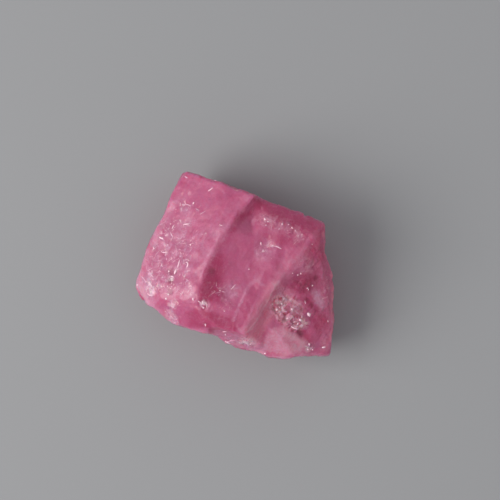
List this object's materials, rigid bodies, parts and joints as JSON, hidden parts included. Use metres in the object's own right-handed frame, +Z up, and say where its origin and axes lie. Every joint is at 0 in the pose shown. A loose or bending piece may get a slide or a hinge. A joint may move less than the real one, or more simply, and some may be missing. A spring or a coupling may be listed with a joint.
{
  "type": "rubellite crystal",
  "caption": "Rough rubellite crystal: a short broken prism of cloudy pink-red tourmaline, lying on a flat prism face.",
  "frame": {"origin": "under the middle of the crystal's box, on the flat face that it rests on", "axes": "+X along the longest side, +Y towards the straight broken end, +Z up from the resting face"},
  "size_m": [0.015, 0.014, 0.0074],
  "materials": {
    "rubellite": "cloudy, see-through at thin edges, glossy breaks with frosted patches"
  },
  "bodies": {
    "root": {"rubellite_crystal": "rubellite"}
  },
  "joints": []
}
